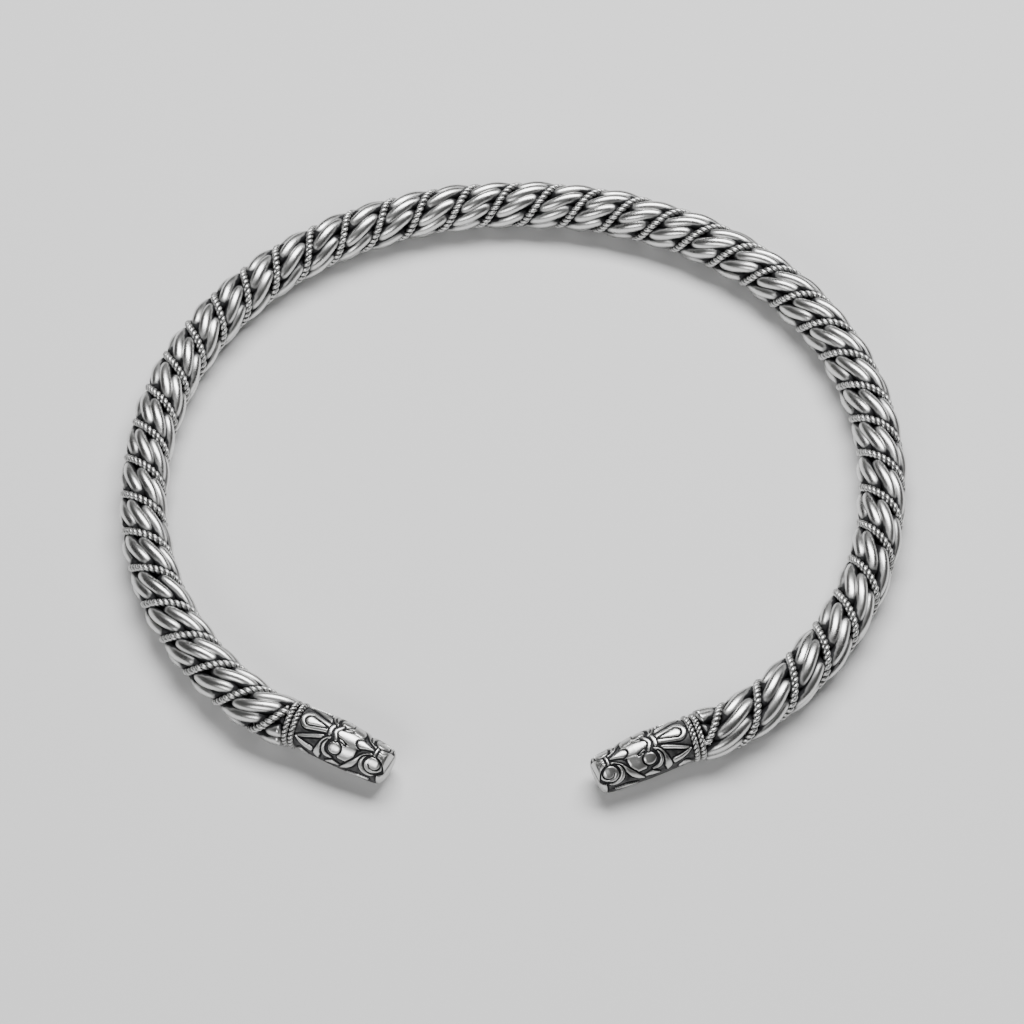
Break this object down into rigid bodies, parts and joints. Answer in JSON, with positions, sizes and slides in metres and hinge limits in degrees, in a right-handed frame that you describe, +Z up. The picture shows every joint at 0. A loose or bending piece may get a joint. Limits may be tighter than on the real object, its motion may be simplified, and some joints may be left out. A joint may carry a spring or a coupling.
{
  "type": "twisted neck ring",
  "caption": "Open oval neck ring: bundles of silver wire twisted into one rod, a fine rope in each groove, and cast beast-head ends facing each other.",
  "frame": {"origin": "middle of the ring's box, on the surface it lies on", "axes": "+Z up out of the ring's plane, -Y towards the opening between the heads, +X to the right head"},
  "size_m": [0.1518, 0.1426, 0.0099],
  "materials": {
    "bright_silver": "polished silver wire, darkened between the wires",
    "darkened_silver": "silver rope, bright on its crowns and darkened in its grooves",
    "cast_silver": "cast silver, polished on the raised ornament and darkened in the ground"
  },
  "bodies": {
    "root": {"wire_bundle_a": "bright_silver", "wire_bundle_b": "bright_silver", "groove_rope_a": "darkened_silver", "groove_rope_b": "darkened_silver", "left_head": "cast_silver", "right_head": "cast_silver"}
  },
  "joints": []
}
